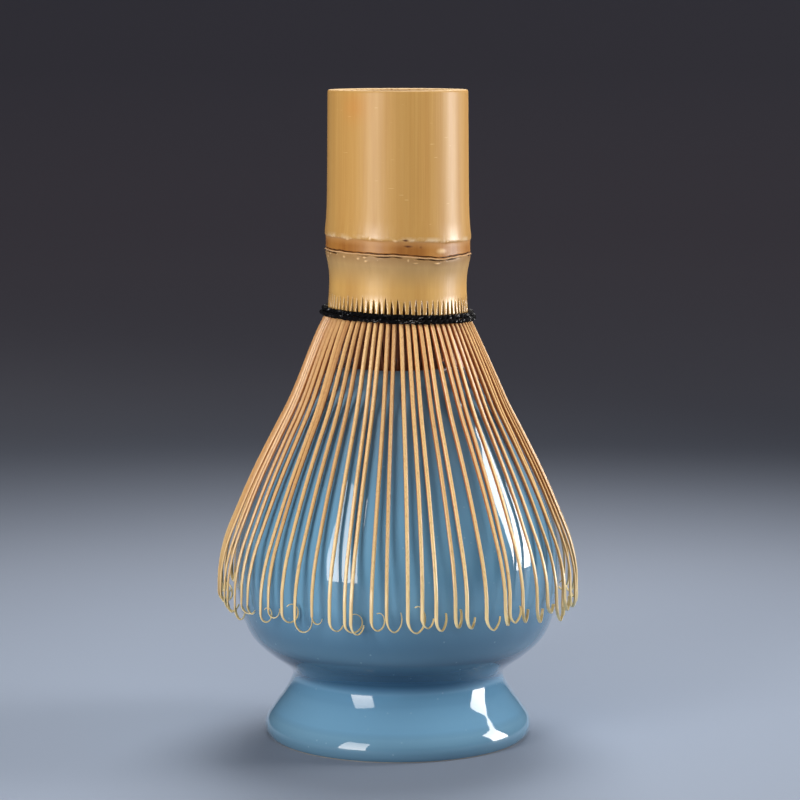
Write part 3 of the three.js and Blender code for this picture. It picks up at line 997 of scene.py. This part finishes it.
def make_knot(material):
    """The tied ends, as a trefoil knot in the middle of the CAD knot."""
    low, high = (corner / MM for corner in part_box("thread_knot"))
    middle = np.array((low + high) / 2)
    t = np.arange(KNOT_STEPS) * TURN / KNOT_STEPS
    x = np.sin(t) + 2 * np.sin(2 * t)
    z = np.cos(t) - 2 * np.cos(2 * t)
    b = Builder()
    add_tube(b, middle + KNOT_SCALE * np.column_stack([x, -np.sin(3 * t), z]), KNOT_THREAD_R, PLY_SIDES)
    b.finish("thread_tied_knot", "whisk", "black_thread", ["thread_knot"], material, slant=False)


# ---- studio ---------------------------------------------------------------------------------

# The floor paper sweeps up into a backdrop all the way round: radius and height in metres, and
# how far it has turned to its paler tone.
PAPER = [
    (0.2, 0, 0.12), (0.4, 0, 0.14), (0.55, 0, 0.4), (0.7, 0, 0.55), (1.1, 0, 0.9), (1.5, 0, 1),
    (1.8, 0.02, 0.95), (2.1, 0.1, 0.65), (2.35, 0.27, 0.5), (2.5, 0.5, 0.5), (2.55, 0.9, 0.5),
]
PAPER_COLUMNS = 96

WARM_WHITE = (1.0, 0.955, 0.915)
# Upright lights facing the axis: degrees round from the front, positive to the right; distance,
# lower edge, upper edge and width in metres; watts; and spread in degrees.
SOFTBOXES = {
    "softbox_left": (-38.5, 0.45, 0.004, 0.39, 0.19, 1.02, 125),
    "softbox_right": (96, 0.45, 0.004, 0.3, 0.155, 1.02, 120),
    "strip_right": (98, 0.45, 0.4, 0.5, 0.155, 0.36, 120),
}
OVERHEAD_AIM = Vector((0, 0, 0.03))


def make_floor():
    b = Builder("far")
    angles = np.arange(PAPER_COLUMNS) * TURN / PAPER_COLUMNS
    rings = [b.add(ring_points(angles, radius / MM, z / MM), far=far) for radius, z, far in PAPER]
    b.fan(rings[0], b.add([(0, 0, 0)])[0])
    for inner, outer in zip(rings, rings[1:]):
        b.bridge(inner, outer)
    s = Shader("floor_paper", Specular_IOR_Level=0.2)
    tone = s.noise(s.stretched(1, 1, 1), 6, 2)
    near = s.mix(tone, srgb(134, 146, 164), srgb(140, 152, 169))
    colour = s.mix(s.value("far"), near, srgb(200, 198, 205))
    fine = s.noise(s.stretched(1, 1, 1), 900, 2)
    paper = s.finish(colour, s.spread(tone, 0, 1, 0.6, 0.7), s.bump(fine, 0.02))
    b.linked("floor", paper, slant=False)


def lamp(name, width, height, watts, spread):
    light = bpy.data.lights.new(name, "AREA")
    light.shape = "RECTANGLE"
    light.size, light.size_y = width, height
    light.energy = watts
    light.spread = math.radians(spread)
    made = bpy.data.objects.new(name, light)
    bpy.context.scene.collection.objects.link(made)
    made.visible_camera = False
    return made


def softbox(name, azimuth, distance, low, high, width, watts, spread):
    """An upright warm area light facing the axis."""
    made = lamp(name, width, high - low, watts, spread)
    made.data.color = WARM_WHITE
    turn = math.radians(azimuth)
    made.location = (distance * math.sin(turn), -distance * math.cos(turn), (low + high) / 2)
    made.rotation_euler = (math.radians(90), 0, turn)


def overhead(name, place, size, watts, spread, glossy=True):
    """A square area light above the object, turned towards its lower part."""
    made = lamp(name, size, size, watts, spread)
    made.location = place
    made.rotation_euler = (Vector(place) - OVERHEAD_AIM).to_track_quat("Z", "Y").to_euler()
    made.visible_glossy = glossy


def make_studio():
    make_floor()
    for name, settings in SOFTBOXES.items():
        softbox(name, *settings)
    front, back = (0, -0.42, 0.45), (0.04, 0.25, 0.45)
    overhead("overhead_front", front, size=0.4, watts=0.66, spread=180, glossy=False)
    overhead("overhead_back", back, size=0.3, watts=0.53, spread=75)
    world = bpy.data.worlds.new("studio")
    world.use_nodes = True
    sky = world.node_tree.nodes["Background"].inputs
    sky["Color"].default_value = srgb(67, 64, 69)
    sky["Strength"].default_value = 1
    bpy.context.scene.world = world
    bpy.context.scene.view_settings.view_transform = "Standard"


# ---- assembly -------------------------------------------------------------------------------

make_holder(glaze_material())
make_handle(culm_material())
make_outer_tines(tine_material("bamboo_outer", OUTER_SKIN, OUTER_WOOD, OUTER_ROUGHNESS))
make_inner_tines(tine_material("bamboo_inner_painted_shade", INNER_SKIN_IN_PAINTED_SHADE, INNER_WOOD_IN_PAINTED_SHADE, INNER_ROUGHNESS))
black_thread = thread_material()
make_thread(black_thread)
make_knot(black_thread)
make_studio()
